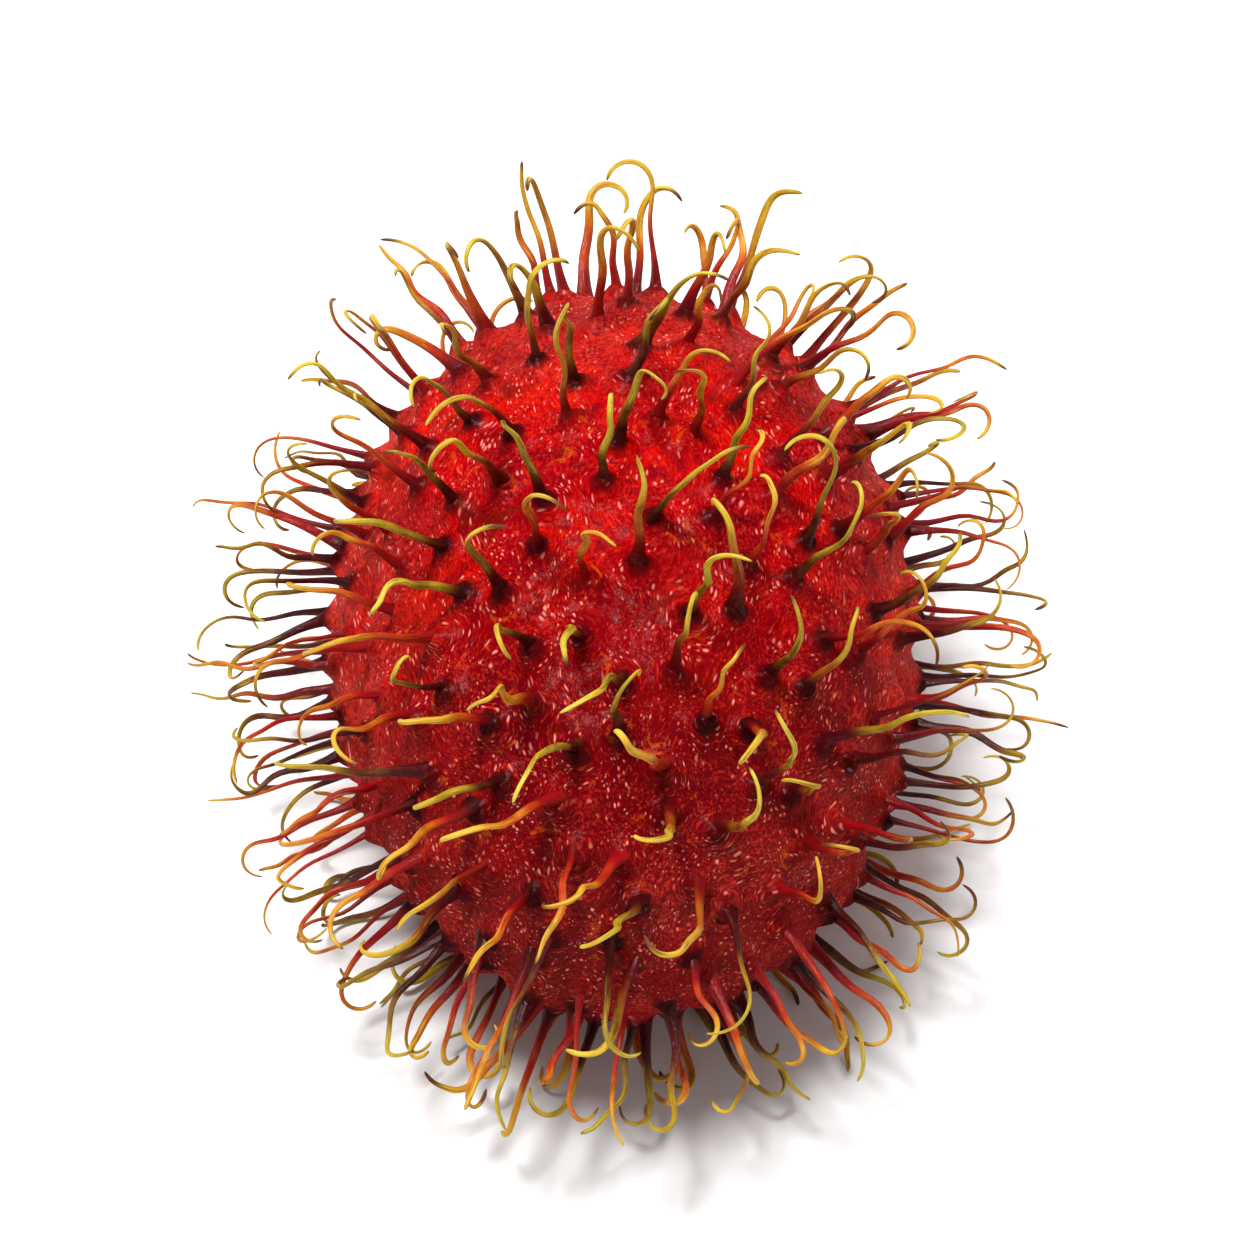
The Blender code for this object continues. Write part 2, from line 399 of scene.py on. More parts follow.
def soften(piece):
    """Smooths a piece by one subdivision."""
    smoothing = piece.modifiers.new("soft", "SUBSURF")
    smoothing.levels = 1
    smoothing.render_levels = 1


def smooth_share(value, start, end):
    """0 before start, 1 after end, and a smooth step between. Start may be the larger one."""
    t = np.clip((value - start) / (end - start), 0, 1)
    return t * t * (3 - 2 * t)


class Finish:
    """A material's node tree, with short ways to add to it."""

    def __init__(self, name):
        self.material = bpy.data.materials.new(name)
        self.material.use_nodes = True
        self.tree = self.material.node_tree
        self.shader = self.tree.nodes["Principled BSDF"]

    def add(self, kind, settings=None, **inputs):
        """A node, with its settings and its inputs given as numbers or as other nodes' outputs."""
        node = self.tree.nodes.new(kind)
        for name, value in (settings or {}).items():
            setattr(node, name, value)
        for name, value in inputs.items():
            self.feed(node, name.replace("_", " "), value)
        return node

    def feed(self, node, name, value):
        """Gives a node's input, by its name or its number, a value or another node's output."""
        socket = node.inputs[int(name)] if name.isdigit() else node.inputs[name]
        if isinstance(value, bpy.types.NodeSocket):
            self.tree.links.new(value, socket)
        else:
            socket.default_value = value

    def value(self, attribute):
        """A number that the mesh keeps."""
        return self.add("ShaderNodeAttribute", {"attribute_name": attribute}).outputs["Fac"]

    def vector(self, attribute):
        """A point that the mesh keeps."""
        return self.add("ShaderNodeAttribute", {"attribute_name": attribute}).outputs["Vector"]

    def noise(self, where, size, detail=2.0, rough=0.5, warp=0.0):
        """A noise whose blotches are about this size."""
        node = self.add("ShaderNodeTexNoise", Vector=where, Scale=1 / size, Detail=detail, Roughness=rough)
        node.inputs["Distortion"].default_value = warp
        return node.outputs["Fac"]

    def cells(self, where, size):
        """A pattern of cells of about this size."""
        return self.add("ShaderNodeTexVoronoi", Vector=where, Scale=1 / size)

    def spread(self, value, low, high, to_low=0.0, to_high=1.0):
        """A value brought from one range to another, and held there."""
        settings = {"clamp": True, "interpolation_type": "SMOOTHSTEP"}
        node = self.add("ShaderNodeMapRange", settings, Value=value)
        for name, number in zip(("From Min", "From Max", "To Min", "To Max"), (low, high, to_low, to_high)):
            node.inputs[name].default_value = number
        return node.outputs["Result"]

    def reckon(self, operation, first, second):
        """Two values put together by a Math node."""
        node = self.add("ShaderNodeMath", {"operation": operation})
        self.feed(node, "0", first)
        self.feed(node, "1", second)
        return node.outputs["Value"]

    def times(self, first, second):
        """The product of two values."""
        return self.reckon("MULTIPLY", first, second)

    def plus(self, first, second):
        """The sum of two values."""
        return self.reckon("ADD", first, second)

    def minus(self, first, second):
        """The first value less the second."""
        return self.reckon("SUBTRACT", first, second)

    def mix(self, share, first, second):
        """One colour over another."""
        node = self.add("ShaderNodeMix", {"data_type": "RGBA"})
        self.feed(node, "0", share)
        self.feed(node, "6", first)
        self.feed(node, "7", second)
        return node.outputs[2]

    def ramp(self, value, stops):
        """A colour ramp with these (place, colour) stops."""
        node = self.add("ShaderNodeValToRGB", Fac=value)
        ramp = node.color_ramp
        while len(ramp.elements) < len(stops):
            ramp.elements.new(0.5)
        for element, (at, shade) in zip(ramp.elements, stops):
            element.position = at
            element.color = shade
        return node.outputs["Color"]

    def bump(self, height, rise, onto=None):
        """Raises the surface by up to this much, on top of another bump if one is given."""
        node = self.add("ShaderNodeBump", Height=height, Distance=rise, Strength=1.0)
        if onto is not None:
            self.feed(node, "Normal", onto)
        return node.outputs["Normal"]

    def set(self, **values):
        """Sets the shader's own sockets."""
        for name, value in values.items():
            self.feed(self.shader, name.replace("_", " "), value)


# ---------------------------------------------------------------- the finishes

def ripe_ground(skin, where, grain, fine):
    """Crimson of uneven ripeness: mottled, deeper toward the blossom end, with a fine dark grain."""
    tone = skin.noise(where, 9 * MM, 3, 0.6)
    base = skin.ramp(tone, (
        (0.32, colour(112, 2, 15)),
        (0.46, colour(152, 2, 9)),
        (0.58, colour(186, 4, 2)),
        (0.72, colour(198, 26, 3)),
    ))
    mottle = skin.spread(skin.noise(grain, 1.4 * MM, 3, 0.65), 0.45, 0.70)
    base = skin.mix(skin.times(mottle, 0.68), base, colour(92, 1, 11))
    base = skin.mix(skin.times(skin.value("deep"), 0.80), base, colour(76, 2, 9))
    return skin.mix(skin.spread(fine, 0.50, 0.30, 0.0, 0.42), base, colour(96, 0, 8))


def dust_over(skin, base, where, fine):
    """A pale dust where the mesh is dusty, and a brighter frosting in patches all over."""
    frosty = skin.spread(skin.noise(where, 4.0 * MM, 2, 0.5), 0.40, 0.64)
    dusty = skin.times(skin.value("dusty"), skin.spread(frosty, 0.0, 1.0, 0.45, 1.0))
    dust = skin.times(dusty, skin.spread(fine, 0.35, 0.60, 0.12, 0.60))
    base = skin.mix(dust, base, colour(204, 76, 60))
    frost = skin.times(skin.spread(fine, 0.50, 0.70), frosty)
    return skin.mix(skin.times(frost, 0.55), base, colour(214, 54, 46))


def drawn_grain(skin, where, grain):
    """The grain's places, swirled a little and drawn out lengthwise."""
    swirl = skin.add("ShaderNodeTexNoise", Vector=where, Scale=1 / SWIRL_SIZE, Detail=1.0)
    way = swirl.outputs["Color"]
    drift = skin.add("ShaderNodeVectorMath", {"operation": "SCALE"}, Vector=way, Scale=SWIRL_REACH)
    flow = skin.add("ShaderNodeVectorMath", {"operation": "ADD"})
    skin.feed(flow, "0", grain)
    skin.feed(flow, "1", drift.outputs["Vector"])
    return skin.add("ShaderNodeMapping", Vector=flow.outputs["Vector"], Scale=GRAIN_DRAW).outputs["Vector"]


def fibres_over(skin, base, drawn):
    """Fine fibres, some dark and some bright."""
    fibre = skin.noise(drawn, 0.17 * MM, 2, 0.6)
    base = skin.mix(skin.spread(fibre, 0.52, 0.34, 0.0, 0.55), base, colour(96, 0, 10))
    return skin.mix(skin.spread(fibre, 0.53, 0.70, 0.0, 0.40), base, colour(222, 46, 18))


def marks_over(skin, base, where, grain):
    """Orange scuffs and brown bruises."""
    scuff = skin.spread(skin.noise(grain, 1.8 * MM, 4, 0.75, 0.5), 0.60, 0.70)
    base = skin.mix(skin.times(scuff, 0.55), base, colour(196, 78, 14))
    bruise = skin.spread(skin.noise(where, 3.4 * MM, 2, 0.5, 0.3), 0.60, 0.74)
    return skin.mix(skin.times(bruise, 0.6), base, colour(78, 16, 6))


def wax_and_glint_dashes(skin, where, drawn):
    """Short pale dashes, partly wax on the skin and partly painted glints, at most one to a cell, close
    together in some patches and rare in others.
    """
    dashes = skin.cells(drawn, 0.31 * MM)
    chosen = skin.add("ShaderNodeSeparateColor", Color=dashes.outputs["Color"])
    smaller = skin.times(chosen.outputs["Green"], 0.16)
    dash = skin.spread(skin.plus(dashes.outputs["Distance"], smaller), 0.42, 0.20)
    patchy = skin.spread(skin.noise(where, 2.6 * MM, 2, 0.5), 0.38, 0.60, 0.74, 0.05)
    picked = skin.minus(chosen.outputs["Red"], patchy)
    dash = skin.times(dash, skin.spread(picked, 0.0, 0.55, 0.15, 1.0))
    return skin.times(dash, skin.spread(picked, -0.02, 0.0))


def rind_finish():
    """Crimson skin, soft and finely grained, darker where a spintern grows out (partly the root's own dark
    colour, partly painted shade), with pale dashes that are partly wax and partly painted glints.
    """
    skin = Finish("rind_skin")
    where = skin.add("ShaderNodeTexCoord").outputs["Object"]
    grain = skin.vector("grain")
    fine = skin.noise(grain, 0.26 * MM, 3, 0.7, 0.4)
    drawn = drawn_grain(skin, where, grain)
    dash = wax_and_glint_dashes(skin, where, drawn)

    base = ripe_ground(skin, where, grain, fine)
    base = dust_over(skin, base, where, fine)
    base = fibres_over(skin, base, drawn)
    base = marks_over(skin, base, where, grain)
    # Pale pink dashes, partly wax and partly painted glints.
    base = skin.mix(skin.times(dash, 0.8), base, colour(238, 134, 118))
    dried = skin.times(skin.value("scarward"), skin.spread(fine, 0.65, 0.35, 0.4, 0.95))
    base = skin.mix(dried, base, colour(84, 26, 14))
    # Darker round each root: partly the root's own dark colour, partly painted shade where the spintern meets
    # the rind.
    ring_dark_and_painted_shade = skin.times(skin.spread(skin.value("rootward"), 0.42, 0.86), skin.value("root_darkness_and_shade"))
    base = skin.mix(ring_dark_and_painted_shade, base, colour(34, 4, 6))
    skin.set(Base_Color=base)

    gloss = skin.spread(skin.noise(grain, 0.7 * MM, 2, 0.6), 0.3, 0.7, 0.36, 0.60)
    skin.set(Roughness=gloss)

    swells = skin.bump(skin.noise(grain, 1.1 * MM, 3, 0.6), 0.20 * MM)
    height = skin.bump(fine, 0.05 * MM, swells)
    height = skin.bump(dash, 0.03 * MM, height)
    skin.set(Normal=height, Coat_Normal=skin.bump(fine, 0.02 * MM, swells))
    skin.set(Subsurface_Weight=0.1, Subsurface_Radius=(1.0, 0.10, 0.06), Subsurface_Scale=0.0010)
    skin.set(Specular_IOR_Level=0.0, Coat_Weight=0.05, Coat_Roughness=0.24)
    return skin.material


def flesh_colours(hair, shifted):
    """Two lots of spinterns: one crimson to warm yellow, one dark maroon through olive to pale yellow."""
    warm = hair.ramp(shifted, (
        (0.02, colour(130, 5, 12)),
        (0.20, colour(146, 16, 16)),
        (0.36, colour(172, 52, 16)),
        (0.50, colour(188, 100, 24)),
        (0.66, colour(202, 146, 38)),
        (0.86, colour(208, 166, 50)),
        (1.0, colour(212, 178, 62)),
    ))
    green = hair.ramp(shifted, (
        (0.04, colour(60, 4, 8)),
        (0.16, colour(58, 12, 9)),
        (0.28, colour(90, 46, 14)),
        (0.42, colour(128, 94, 22)),
        (0.60, colour(168, 142, 32)),
        (0.82, colour(198, 172, 48)),
        (1.0, colour(210, 190, 68)),
    ))
    return hair.mix(hair.value("lot"), warm, green)


def spintern_finish():
    """Soft flesh, streaked lengthwise, with painted highlight lines on its outer part, dark at some roots
    (partly their own dark colour, partly painted shade), with a brown tip on the older ones.
    """
    hair = Finish("spintern_flesh")
    along = hair.value("along")
    strand = hair.add("ShaderNodeUVMap", {"uv_map": "strand"}).outputs["UV"]
    where = hair.add("ShaderNodeTexCoord").outputs["Object"]

    drift = hair.noise(where, 2.4 * MM, 2, 0.5)
    shifted = hair.plus(along, hair.spread(drift, 0.25, 0.75, -0.12, 0.12))
    base = flesh_colours(hair, hair.minus(shifted, hair.value("delay")))
    # Darker at the root: partly its own dark colour, partly painted shade where it meets the rind.
    foot_dark_and_painted_shade = hair.times(hair.value("root_darkness_and_shade"), hair.spread(along, 0.32, 0.06))
    base = hair.mix(foot_dark_and_painted_shade, base, colour(34, 6, 7))

    lengthwise = hair.add("ShaderNodeMapping", {"vector_type": "POINT"}, Vector=strand, Scale=(5.0, 3.0, 1.0))
    streak = hair.noise(lengthwise.outputs["Vector"], 0.6, 3, 0.6)
    base = hair.mix(hair.spread(streak, 0.5, 0.70, 0.0, 0.65), base, colour(84, 26, 12))
    # Pale yellow lines on the outer part of the shaft: painted highlights.
    outer = hair.spread(along, 0.25, 0.55, 0.0, 0.38)
    base = hair.mix(hair.times(hair.spread(streak, 0.45, 0.28), outer), base, colour(232, 206, 96))
    withered = hair.plus(along, hair.times(hair.value("age"), 0.18))
    withered = hair.plus(withered, hair.spread(streak, 0.3, 0.7, -0.03, 0.03))
    base = hair.mix(hair.spread(withered, 0.98, 1.09), base, colour(96, 54, 20))
    hair.set(Base_Color=base)

    hair.set(Roughness=hair.spread(streak, 0.3, 0.7, 0.32, 0.5))
    height = hair.bump(streak, 0.13 * MM)
    height = hair.bump(hair.noise(where, 0.30 * MM, 2, 0.5), 0.05 * MM, height)
    hair.set(Normal=height)
    hair.set(Subsurface_Weight=0.12, Subsurface_Radius=(1.0, 0.45, 0.12), Subsurface_Scale=0.0005)
    hair.set(Specular_IOR_Level=0.0, Coat_Weight=0.35, Coat_Roughness=0.32, Coat_Normal=height)
    return hair.material


def floor_finish():
    """A plain pale surface."""
    floor = Finish("pale_floor")
    floor.set(Base_Color=colour(236, 236, 236), Roughness=0.65)
    return floor.material


# ---------------------------------------------------------------- the rind

def rind_points(directions):
    """rind_point for many directions at once."""
    x, y, z = directions.T
    lumps = np.sin(3.1 * x + 1.7 * y + 0.5) * np.sin(2.6 * z - 1.9 * y + 1.1)
    lumps += 0.7 * np.sin(4.3 * y - 2.2 * x + 2.0) * np.sin(3.7 * z + 1.3 * x)
    size = 1 + LUMP_SHARE * lumps
    girth = size * (1 + STEM_END_SWELL * y)
    spread = np.stack([SEMI_AXES.x * girth * x, SEMI_AXES.y * size * y, SEMI_AXES.z * girth * z], axis=1)
    return np.array(RIND_MIDDLE) + spread


def rind_normals(points):
    """rind_normal for many points at once."""
    away = (points - np.array(RIND_MIDDLE)) / np.array(SEMI_AXES) ** 2
    return away / np.linalg.norm(away, axis=1, keepdims=True)


def tree_of(points):
    """A search tree of these points."""
    tree = KDTree(len(points))
    for index, point in enumerate(points):
        tree.insert(point, index)
    tree.balance()
    return tree


def cobble(points, size, seed):
    """A dome on each cell of a scattering of cells of this size: 1 at its middle, 0 at its rim."""
    rng = np.random.default_rng(seed)
    area = 4 * math.pi * (sum(SEMI_AXES) / 3) ** 2
    directions = rng.normal(size=(int(area / size**2 * CELL_SPARE), 3))
    directions /= np.linalg.norm(directions, axis=1, keepdims=True)
    seeds = tree_of(rind_points(directions))
    gaps = np.array([[hit[2] for hit in seeds.find_n(point, 2)] for point in points])
    return smooth_share(gaps[:, 1] - gaps[:, 0], 0, CELL_RIM * size)


def corner_places(mesh):
    """Where each corner of each face is."""
    corner_vertex = np.empty(len(mesh.loops), np.int32)
    mesh.loops.foreach_get("vertex_index", corner_vertex)
    return places(mesh)[corner_vertex]


def wrap_rind(mesh):
    """One map, OFBake: the six sides of the cube that the skin is made from, three by two."""
    corners = corner_places(mesh).reshape(-1, 4, 3)
    middles = corners.mean(axis=1)
    out = np.abs(middles).argmax(axis=1)
    up = np.where(out == 1, 2, 1)
    side = 3 - out - up
    every = np.arange(len(corners))
    facing = np.sign(middles[every, out]) * np.where(out == 2, 1, -1)
    u = corners[every, :, side] * facing[:, None]
    v = corners[every, :, up]
    row = (middles[every, out] > 0).astype(int)[:, None]
    layer = mesh.uv_layers.new(name="OFBake")
    flat = np.stack([(out[:, None] + 0.5 + 0.49 * u) / 3, (row + 0.5 + 0.49 * v) / 2], axis=2)
    layer.uv.foreach_set("vector", flat.astype(np.float32).ravel())


def cube_skin():
    """The skin of a cube, finely cut and mapped, which is blown up into the rind."""
    skin = bmesh.new()
    bmesh.ops.create_cube(skin, size=2.0)
    bmesh.ops.subdivide_edges(skin, edges=skin.edges[:], cuts=RIND_CUTS, use_grid_fill=True)
    mesh = bpy.data.meshes.new("rind")
    skin.to_mesh(mesh)
    skin.free()
    wrap_rind(mesh)
    return mesh


def mound_shift(gap, heading, normals):
    """How each point is moved by the mound of its nearest root, which leans the way the spintern heads."""
    inward = np.clip(1 - gap / MOUND_REACH, 0, 1)
    rise = MOUND_HEIGHT * inward**MOUND_POWER
    rise = (MOUND_CAP * np.tanh(rise / MOUND_CAP))[:, None]
    upright = np.sum(heading * normals, axis=1, keepdims=True)
    tilt = heading - normals * upright
    tilt *= np.minimum(1, MOST_TILT / np.maximum(np.linalg.norm(tilt, axis=1, keepdims=True), 1e-9))
    return (normals + tilt * smooth_share(rise, 0, MOUND_LEAN_START)) * rise


def collar_rise(scar_gap):
    """The height of the low collar round the stem scar, less the dip that the scar sits in."""
    collar = COLLAR_RISE * np.exp(-(((scar_gap - COLLAR_REACH) / COLLAR_WIDTH) ** 2))
    collar -= SCAR_DIP * smooth_share(scar_gap, 0.95 * SCAR_RADIUS, 0.7 * SCAR_RADIUS)
    return collar


def write_weathering(mesh, stemward, up, scar_gap):
    """Keeps how dusty, how deep in colour and how dried the skin is."""
    sides = smooth_share(up, *SIDE_FROM_TOP) * smooth_share(up, *SIDE_FROM_BOTTOM)
    dusty = np.maximum(sides, smooth_share(stemward, *STEM_END_DUST))
    dusty *= 1 - 0.5 * smooth_share(stemward, *LESS_DUST)
    deep = smooth_share(stemward, *DEEP_COLOUR)
    write_values(mesh, "dusty", dusty * (1 - 0.7 * deep))
    write_values(mesh, "deep", deep)
    write_values(mesh, "scarward", smooth_share(scar_gap, *DRIED_SKIN))


def make_rind(lines, lots, shades):
    """The skin, raised into a mound round each root, pebbled all over, and flat where it rests."""
    mesh = cube_skin()
    cube = np.tan(places(mesh) * math.pi / 4)
    directions = cube / np.linalg.norm(cube, axis=1, keepdims=True)
    points = rind_points(directions)
    normals = rind_normals(points)

    roots = np.array([onto_rind(line[0]) for line in lines])
    headings = np.array([(line[1] - line[0]).normalized() for line in lines])
    tree = tree_of(roots)
    near = [tree.find(point) for point in points]
    first = np.array([hit[1] for hit in near])
    gap = np.array([hit[2] for hit in near])
    mound = mound_shift(gap, headings[first], normals)

    radial = points - roots[first]
    stretch = GRAIN_STRETCH + (1 - GRAIN_STRETCH) * np.clip(gap / GRAIN_REACH, 0, 1) ** 2
    grain = roots[first] + radial * stretch[:, None] + mound

    pebbles = cobble(grain, PEBBLE_SIZE, 31) * PEBBLE_RISE
    knolls = cobble(points, KNOLL_SIZE, 32) * KNOLL_RISE
    scar_gap = np.linalg.norm(points - np.array(rind_point(Vector((0, 1, 0)))), axis=1)
    points = points + mound + normals * (pebbles + knolls + collar_rise(scar_gap))[:, None]
    points[:, 2] = np.maximum(points[:, 2], 0)

    place(mesh, points)
    write_values(mesh, "grain", grain)
    # How near each point is to a root, and how dark the ring round that root is: partly its own dark colour,
    # partly painted shade, at least a quarter everywhere.
    write_values(mesh, "rootward", smooth_share(-gap, -ROOT_DARK_AND_SHADE_REACH, 0))
    write_values(mesh, "root_darkness_and_shade", np.maximum(np.maximum(shades, 0.8 * lots), 0.25)[first])
    write_weathering(mesh, directions[:, 1], normals[:, 2], scar_gap)
    add_object("rind", mesh, rind_finish())


# ---------------------------------------------------------------- the spinterns

def spintern_cage():
    """A straight five-sided cage, 1 in radius and 1 tall, with a ring at each of CAGE_RINGS."""
    cage = bmesh.new()
    bmesh.ops.create_circle(cage, cap_ends=True, radius=1.0, segments=CAGE_SIDES)
    bmesh.ops.reverse_faces(cage, faces=cage.faces[:])
    end = bmesh.ops.extrude_face_region(cage, geom=cage.faces[:])["geom"]
    lid = [item for item in end if isinstance(item, bmesh.types.BMFace)]
    bmesh.ops.translate(cage, verts=lid[0].verts[:], vec=(0, 0, CAGE_RINGS[1]))
    for low, high in zip(CAGE_RINGS[1:], CAGE_RINGS[2:]):
        lid = bmesh.ops.extrude_discrete_faces(cage, faces=lid)["faces"]
        bmesh.ops.translate(cage, verts=lid[0].verts[:], vec=(0, 0, high - low))
    bmesh.ops.recalc_face_normals(cage, faces=cage.faces[:])
    mesh = bpy.data.meshes.new("cage")
    cage.to_mesh(mesh)
    cage.free()
    return mesh


def ring_frames(line):
    """Two arrays of vectors across the centreline at each of its points, carried along without twisting."""
    across = (line[1] - line[0]).normalized().orthogonal().normalized()
    frames = []
    for step in range(len(line)):
        ahead = (line[min(step + 1, STEPS)] - line[max(step - 1, 0)]).normalized()
        across = (across - ahead * across.dot(ahead)).normalized()
        frames.append((across, ahead.cross(across)))
    return np.array([f[0] for f in frames]), np.array([f[1] for f in frames])


def read_along(table, share):
    """The rows of a table of evenly spaced points, read at these shares of its length."""
    steps = np.linspace(0, 1, len(table))
    return np.stack([np.interp(share, steps, column) for column in np.array(table).T], axis=1)


def on_flank(line):
    """1 for a spintern on the fruit's left or right flank, 0 for one that isn't."""
    return float(smooth_share(abs(rind_normal(line[0]).x), *FLANK))


def bend_cage(cage_points, line, rng):
    """The cage's points, bent along a centreline, with its girth, flattening and small wiggles."""
    share = cage_points[:, 2]
    across, upright = ring_frames(line)
    across, upright = read_along(across, share), read_along(upright, share)
    middle = read_along(line, share)
    phase = rng.uniform(0, math.tau, 4)
    loose = smooth_share(share, 0.12, 0.5) * rng.uniform(0.35, 1.0) * WIGGLE
    loose *= 1 - 0.6 * smooth_share(share, 0.5, 0.72)
    waves = rng.uniform(1.0, 1.9, 2) * math.tau
    ripple = RIPPLE * rng.uniform(0, 1) ** 1.5
    ripple = ripple * smooth_share(share, 0.15, 0.4) * smooth_share(share, 1.0, 0.75)
    ripples = rng.uniform(2.0, 3.0, 2) * math.tau
    sway = np.sin(share * waves[0] + phase[0]) * loose + np.sin(share * ripples[0] + phase[3]) * ripple
    swing = np.sin(share * waves[1] + phase[1]) * loose + np.sin(share * ripples[1] + phase[2]) * ripple
    middle = middle + across * sway[:, None] + upright * swing[:, None]

    stout = rng.uniform(*STOUTNESS) * (1 - FLANK_SLIMMING * on_flank(line))
    radius = np.interp(share, GIRTH_AT, GIRTH) * stout / CAGE_SHRINK
    turn = phase[2] + share * rng.normal(0, 1.6)
    flat = rng.uniform(*FLATNESS)
    x = cage_points[:, 0] * (1 + flat)
    y = cage_points[:, 1] * (1 - flat)
    u = (x * np.cos(turn) - y * np.sin(turn)) * radius
    v = (x * np.sin(turn) + y * np.cos(turn)) * radius
    bent = middle + across * u[:, None] + upright * v[:, None]
    bent[:, 2] = np.maximum(bent[:, 2], LOWEST)
    return bent


def make_spinterns(name, lines, lots, shades, material, seed):
    """One group of spinterns: a copy of the cage for each centreline, smoothed by one subdivision."""
    rng = np.random.default_rng(seed)
    cage = spintern_cage()
    cage_points = places(cage)
    group = bmesh.new()
    for _ in lines:
        group.from_mesh(cage)
    mesh = bpy.data.meshes.new(name)
    group.to_mesh(mesh)
    group.free()

    count = len(cage_points)
    place(mesh, np.concatenate([bend_cage(cage_points, line, rng) for line in lines]))
    write_values(mesh, "along", np.tile(cage_points[:, 2], len(lines)))
    write_values(mesh, "lot", np.repeat(lots, count))
    # How dark each root is: partly its own colour, partly painted shade.
    write_values(mesh, "root_darkness_and_shade", np.repeat(shades, count))
    write_values(mesh, "age", np.repeat(rng.uniform(0, 1, len(lines)) ** 1.5, count))
    upward = np.array([rind_normal(line[0]).z for line in lines])
    delay = rng.uniform(*DELAY_SCATTER, len(lines)) + LOW_DELAY * smooth_share(upward, 0.6, 0.1)
    delay += FLANK_DELAY * np.array([on_flank(line) for line in lines])
    write_values(mesh, "delay", np.repeat(delay, count))
    wrap_strands(mesh, cage, len(lines))
    soften(add_object(name, mesh, material))


def wrap_strands(mesh, cage, copies):
    """Two maps: strand has each spintern once round and once along, OFBake gives each a strip of its own."""
    points = corner_places(cage)
    turn = np.arctan2(points[:, 1], points[:, 0]) / math.tau % 1.0
    for face in cage.polygons:
        loops = list(face.loop_indices)
        if len(loops) == 4 and np.ptp(turn[loops]) > 0.5:
            turn[loops] = np.where(turn[loops] < 0.5, turn[loops] + 1, turn[loops])
    along = points[:, 2]
    rng = np.random.default_rng(5)
    left, width, foot, height = STRIP
    strand, strips = [], []
    columns = math.ceil(copies / 2)
    for copy in range(copies):
        strand.append(np.stack([turn, along + rng.uniform(0, 90)], axis=1))
        column, row = copy % columns, copy // columns
        u = (column + left + width * turn / STRIP_TURNS) / columns
        v = (row + foot + height * along) / 2
        strips.append(np.stack([u, v], axis=1))
    for map_name, corners in (("strand", strand), ("OFBake", strips)):
        layer = mesh.uv_layers.new(name=map_name)
        layer.uv.foreach_set("vector", np.concatenate(corners).astype(np.float32).ravel())


# ---------------------------------------------------------------- the stem scar

def scar_finish():
    """Dry cork: brown fibres drawn out from the middle, darker in its hollow and round its foot."""
    cork = Finish("scar_cork")
    where = cork.add("ShaderNodeTexCoord").outputs["Object"]
    spokes = cork.vector("spokes")
    hollow = cork.value("hollow")
    foot = cork.value("foot")
    fibre = cork.noise(spokes, 0.34 * MM, 4, 0.75, 0.2)
    tone = cork.noise(where, 1.3 * MM, 2, 0.5)
    base = cork.ramp(cork.plus(fibre, cork.spread(tone, 0.3, 0.7, -0.08, 0.08)), (
        (0.32, colour(40, 20, 12)),
        (0.45, colour(92, 52, 28)),
        (0.56, colour(140, 94, 54)),
        (0.72, colour(190, 152, 104)),
    ))
    crumb = cork.noise(where, 0.22 * MM, 3, 0.7)
    base = cork.mix(cork.spread(crumb, 0.48, 0.34, 0.0, 0.7), base, colour(46, 24, 14))
    base = cork.mix(cork.times(hollow, 0.8), base, colour(36, 18, 11))
    base = cork.mix(cork.times(foot, 0.8), base, colour(62, 22, 14))
    cork.set(Base_Color=base, Roughness=cork.spread(fibre, 0.3, 0.7, 0.7, 0.95))
    height = cork.bump(fibre, 0.30 * MM)
    cork.set(Normal=cork.bump(crumb, 0.09 * MM, height))
    cork.set(Specular_IOR_Level=0.15)
    return cork.material


def scar_button():
    """A round button with SCAR_PROFILE as its section, finely cut, standing on its foot."""
    button = bmesh.new()
    (foot_radius, foot_height), *profile = SCAR_PROFILE
    bmesh.ops.create_circle(button, cap_ends=True, radius=foot_radius * MM, segments=SCAR_SIDES)
    bmesh.ops.translate(button, verts=button.verts[:], vec=(0, 0, foot_height * MM))
    bmesh.ops.reverse_faces(button, faces=button.faces[:])
    lid = bmesh.ops.extrude_face_region(button, geom=button.faces[:])["geom"]
    top = [item for item in lid if isinstance(item, bmesh.types.BMFace)]
    radius, height = foot_radius, foot_height
    for next_radius, next_height in profile:
        if next_radius < radius:
            bmesh.ops.inset_region(button, faces=top, thickness=(radius - next_radius) * MM)
        bmesh.ops.translate(button, verts=top[0].verts[:], vec=(0, 0, (next_height - height) * MM))
        radius, height = next_radius, next_height
    bmesh.ops.poke(button, faces=top)
    bmesh.ops.recalc_face_normals(button, faces=button.faces[:])
    bmesh.ops.subdivide_edges(button, edges=button.edges[:], cuts=2, use_grid_fill=True, smooth=0.5)
    mesh = bpy.data.meshes.new("stem_scar")
    button.to_mesh(mesh)
    button.free()
    return mesh


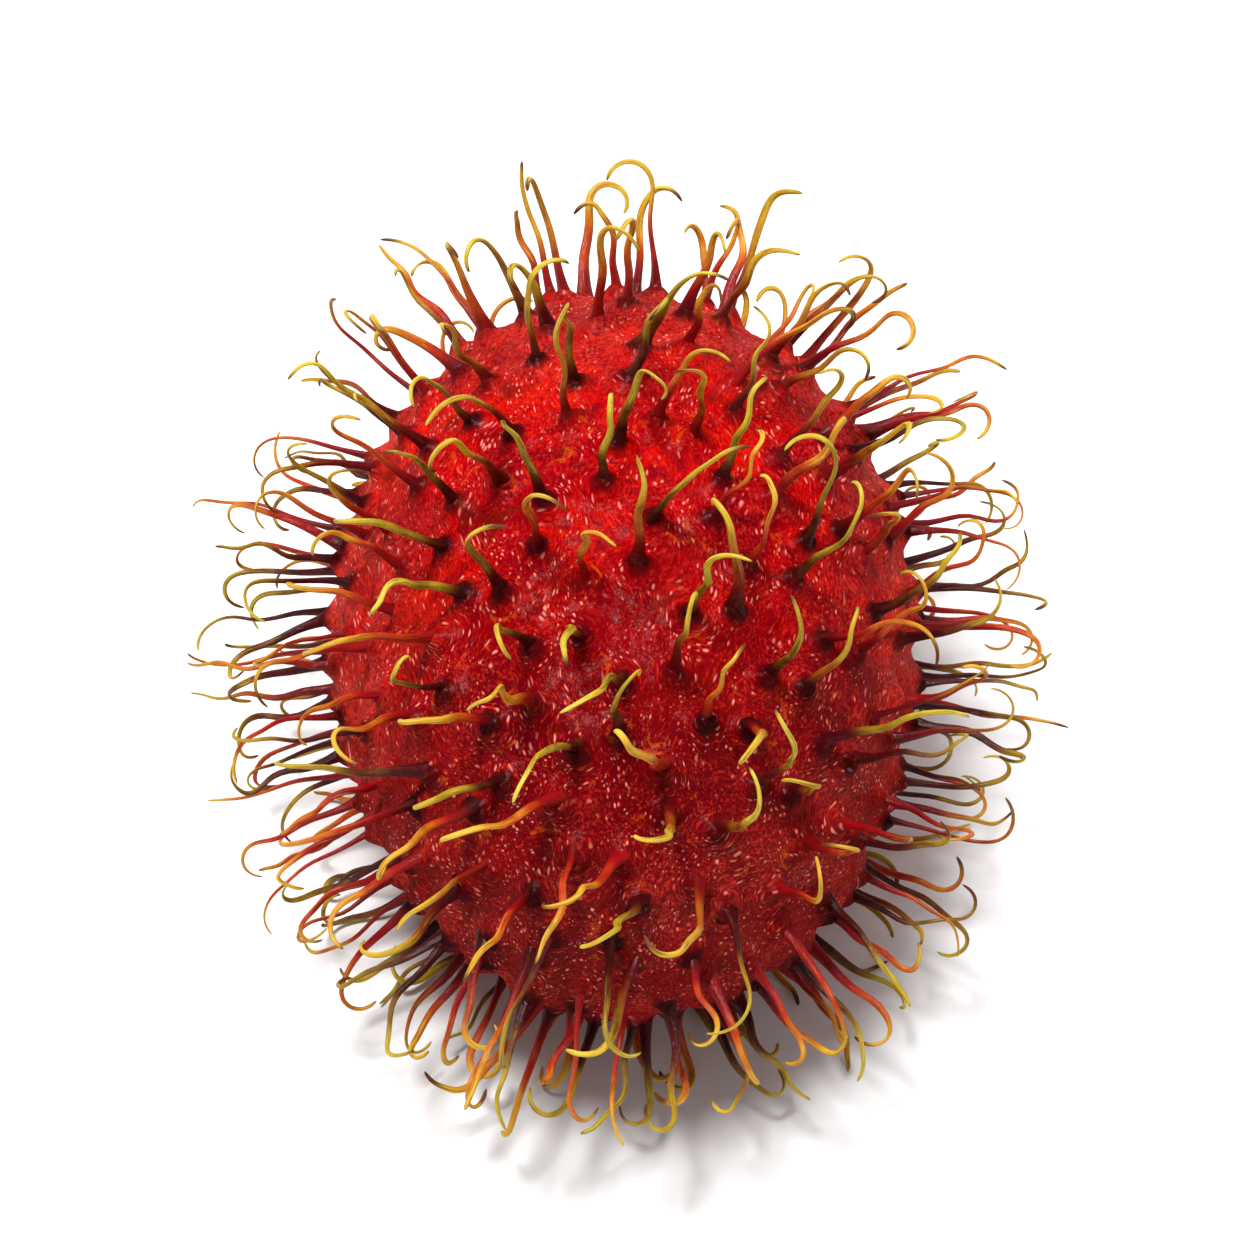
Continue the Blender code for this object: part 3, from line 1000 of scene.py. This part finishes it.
def make_stem_scar():
    """The button where the stalk broke off: a ragged rim, a hollow inside it and a stub of broken fibres."""
    rng = np.random.default_rng(77)
    mesh = scar_button()
    points = places(mesh)
    radius = np.hypot(points[:, 0], points[:, 1])
    angle = np.arctan2(points[:, 1], points[:, 0])
    share = radius / SCAR_RADIUS
    ragged = np.zeros(len(points))
    for waves, size in SCAR_WAVES:
        ragged += size * np.sin(angle * waves + rng.uniform(0, math.tau))
    outer = smooth_share(share, 0.35, 0.8)
    points[:, :2] *= (1 + ragged * outer)[:, None]
    notches = np.abs(np.sin(angle * SCAR_NOTCHES + 3 * ragged)) ** 0.5 - 0.7
    points[:, 2] += (ragged * 1.3 + notches * 0.22) * MM * smooth_share(share, 1.1, 0.95) * outer
    fibres = rng.normal(0, 0.07 * MM, len(points)) * smooth_share(share, 0.32, 0.1)
    points[:, 2] += fibres + rng.normal(0, 0.018 * MM, len(points))

    around = np.stack([np.cos(angle), np.sin(angle), np.zeros(len(angle))], axis=1) * 1.4 * MM
    around[:, 2] = radius * 0.35
    pole = np.array(rind_point(Vector((0, 1, 0))))
    place(mesh, np.stack([points[:, 0], points[:, 2], -points[:, 1]], axis=1) + pole)
    write_values(mesh, "hollow", smooth_share(share, 0.62, 0.40) * smooth_share(share, 0.10, 0.22))
    write_values(mesh, "foot", smooth_share(share, 0.95, 1.12))
    write_values(mesh, "spokes", around)
    soften(add_object("stem_scar", mesh, scar_finish()))


# ---------------------------------------------------------------- the studio

def soft_light(name, spread, strength, source):
    """A broad far light from this direction. Its spread is the angle that it fills, in degrees."""
    lamp = bpy.data.lights.new(name, "SUN")
    lamp.angle = math.radians(spread)
    lamp.energy = strength
    light = bpy.data.objects.new(name, lamp)
    light.rotation_euler = Vector(source).to_track_quat("Z", "Y").to_euler()
    bpy.context.scene.collection.objects.link(light)


def make_floor():
    """A wide pale floor."""
    ground = bmesh.new()
    bmesh.ops.create_grid(ground, x_segments=1, y_segments=1, size=FLOOR_REACH)
    mesh = bpy.data.meshes.new("floor")
    ground.to_mesh(mesh)
    ground.free()
    mesh.materials.append(floor_finish())
    floor = bpy.data.objects.new("floor", mesh)
    bpy.context.scene.collection.objects.link(floor)


def make_sky():
    """A plain white light from all round."""
    world = bpy.data.worlds.new("studio")
    world.use_nodes = True
    background = world.node_tree.nodes["Background"]
    background.inputs["Color"].default_value = (1, 1, 1, 1)
    background.inputs["Strength"].default_value = SKY_STRENGTH
    bpy.context.scene.world = world


def make_camera(middle):
    """A long lens that looks down on the fruit from the blossom end."""
    scene = bpy.context.scene
    lens = bpy.data.cameras.new("camera")
    lens.lens = CAMERA_LENS
    lens.clip_start = NEAREST_SEEN
    camera = bpy.data.objects.new("camera", lens)
    away = Vector((0, -math.cos(CAMERA_LIFT), math.sin(CAMERA_LIFT)))
    camera.location = middle + away * CAMERA_DISTANCE
    camera.rotation_euler = (-away).to_track_quat("-Z", "Y").to_euler()
    scene.collection.objects.link(camera)
    scene.camera = camera
    scene.view_settings.view_transform = "Standard"


def main():
    lines = grow_spinterns(spintern_roots())
    rng = np.random.default_rng(41)
    # How dark each root is, partly its own dark colour and partly painted shade.
    shades = smooth_share(rng.uniform(0, 1, len(lines)), 0.25, 0.8) * 0.95
    lots = smooth_share(rng.uniform(0, 1, len(lines)), 0.25, 0.75)
    fresh = smooth_share(np.array([rind_normal(line[0]).y for line in lines]), *FRESH_END)
    lots *= 1 - FRESH_WARMTH * fresh
    shades *= 1 - FRESH_ROOTS * fresh
    make_rind(lines, lots, shades)
    make_stem_scar()
    flesh = spintern_finish()
    order = sorted(range(len(lines)), key=lambda index: lines[index][0].y)
    in_group = math.ceil(len(order) / len(SPINTERN_GROUPS))
    for number, name in enumerate(SPINTERN_GROUPS):
        chosen = order[number * in_group:(number + 1) * in_group]
        make_spinterns(name, [lines[i] for i in chosen], lots[chosen], shades[chosen], flesh, 60 + number)
    make_floor()
    for light in LIGHTS:
        soft_light(*light)
    make_sky()
    low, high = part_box("rambutan")
    make_camera((low + high) / 2)


main()
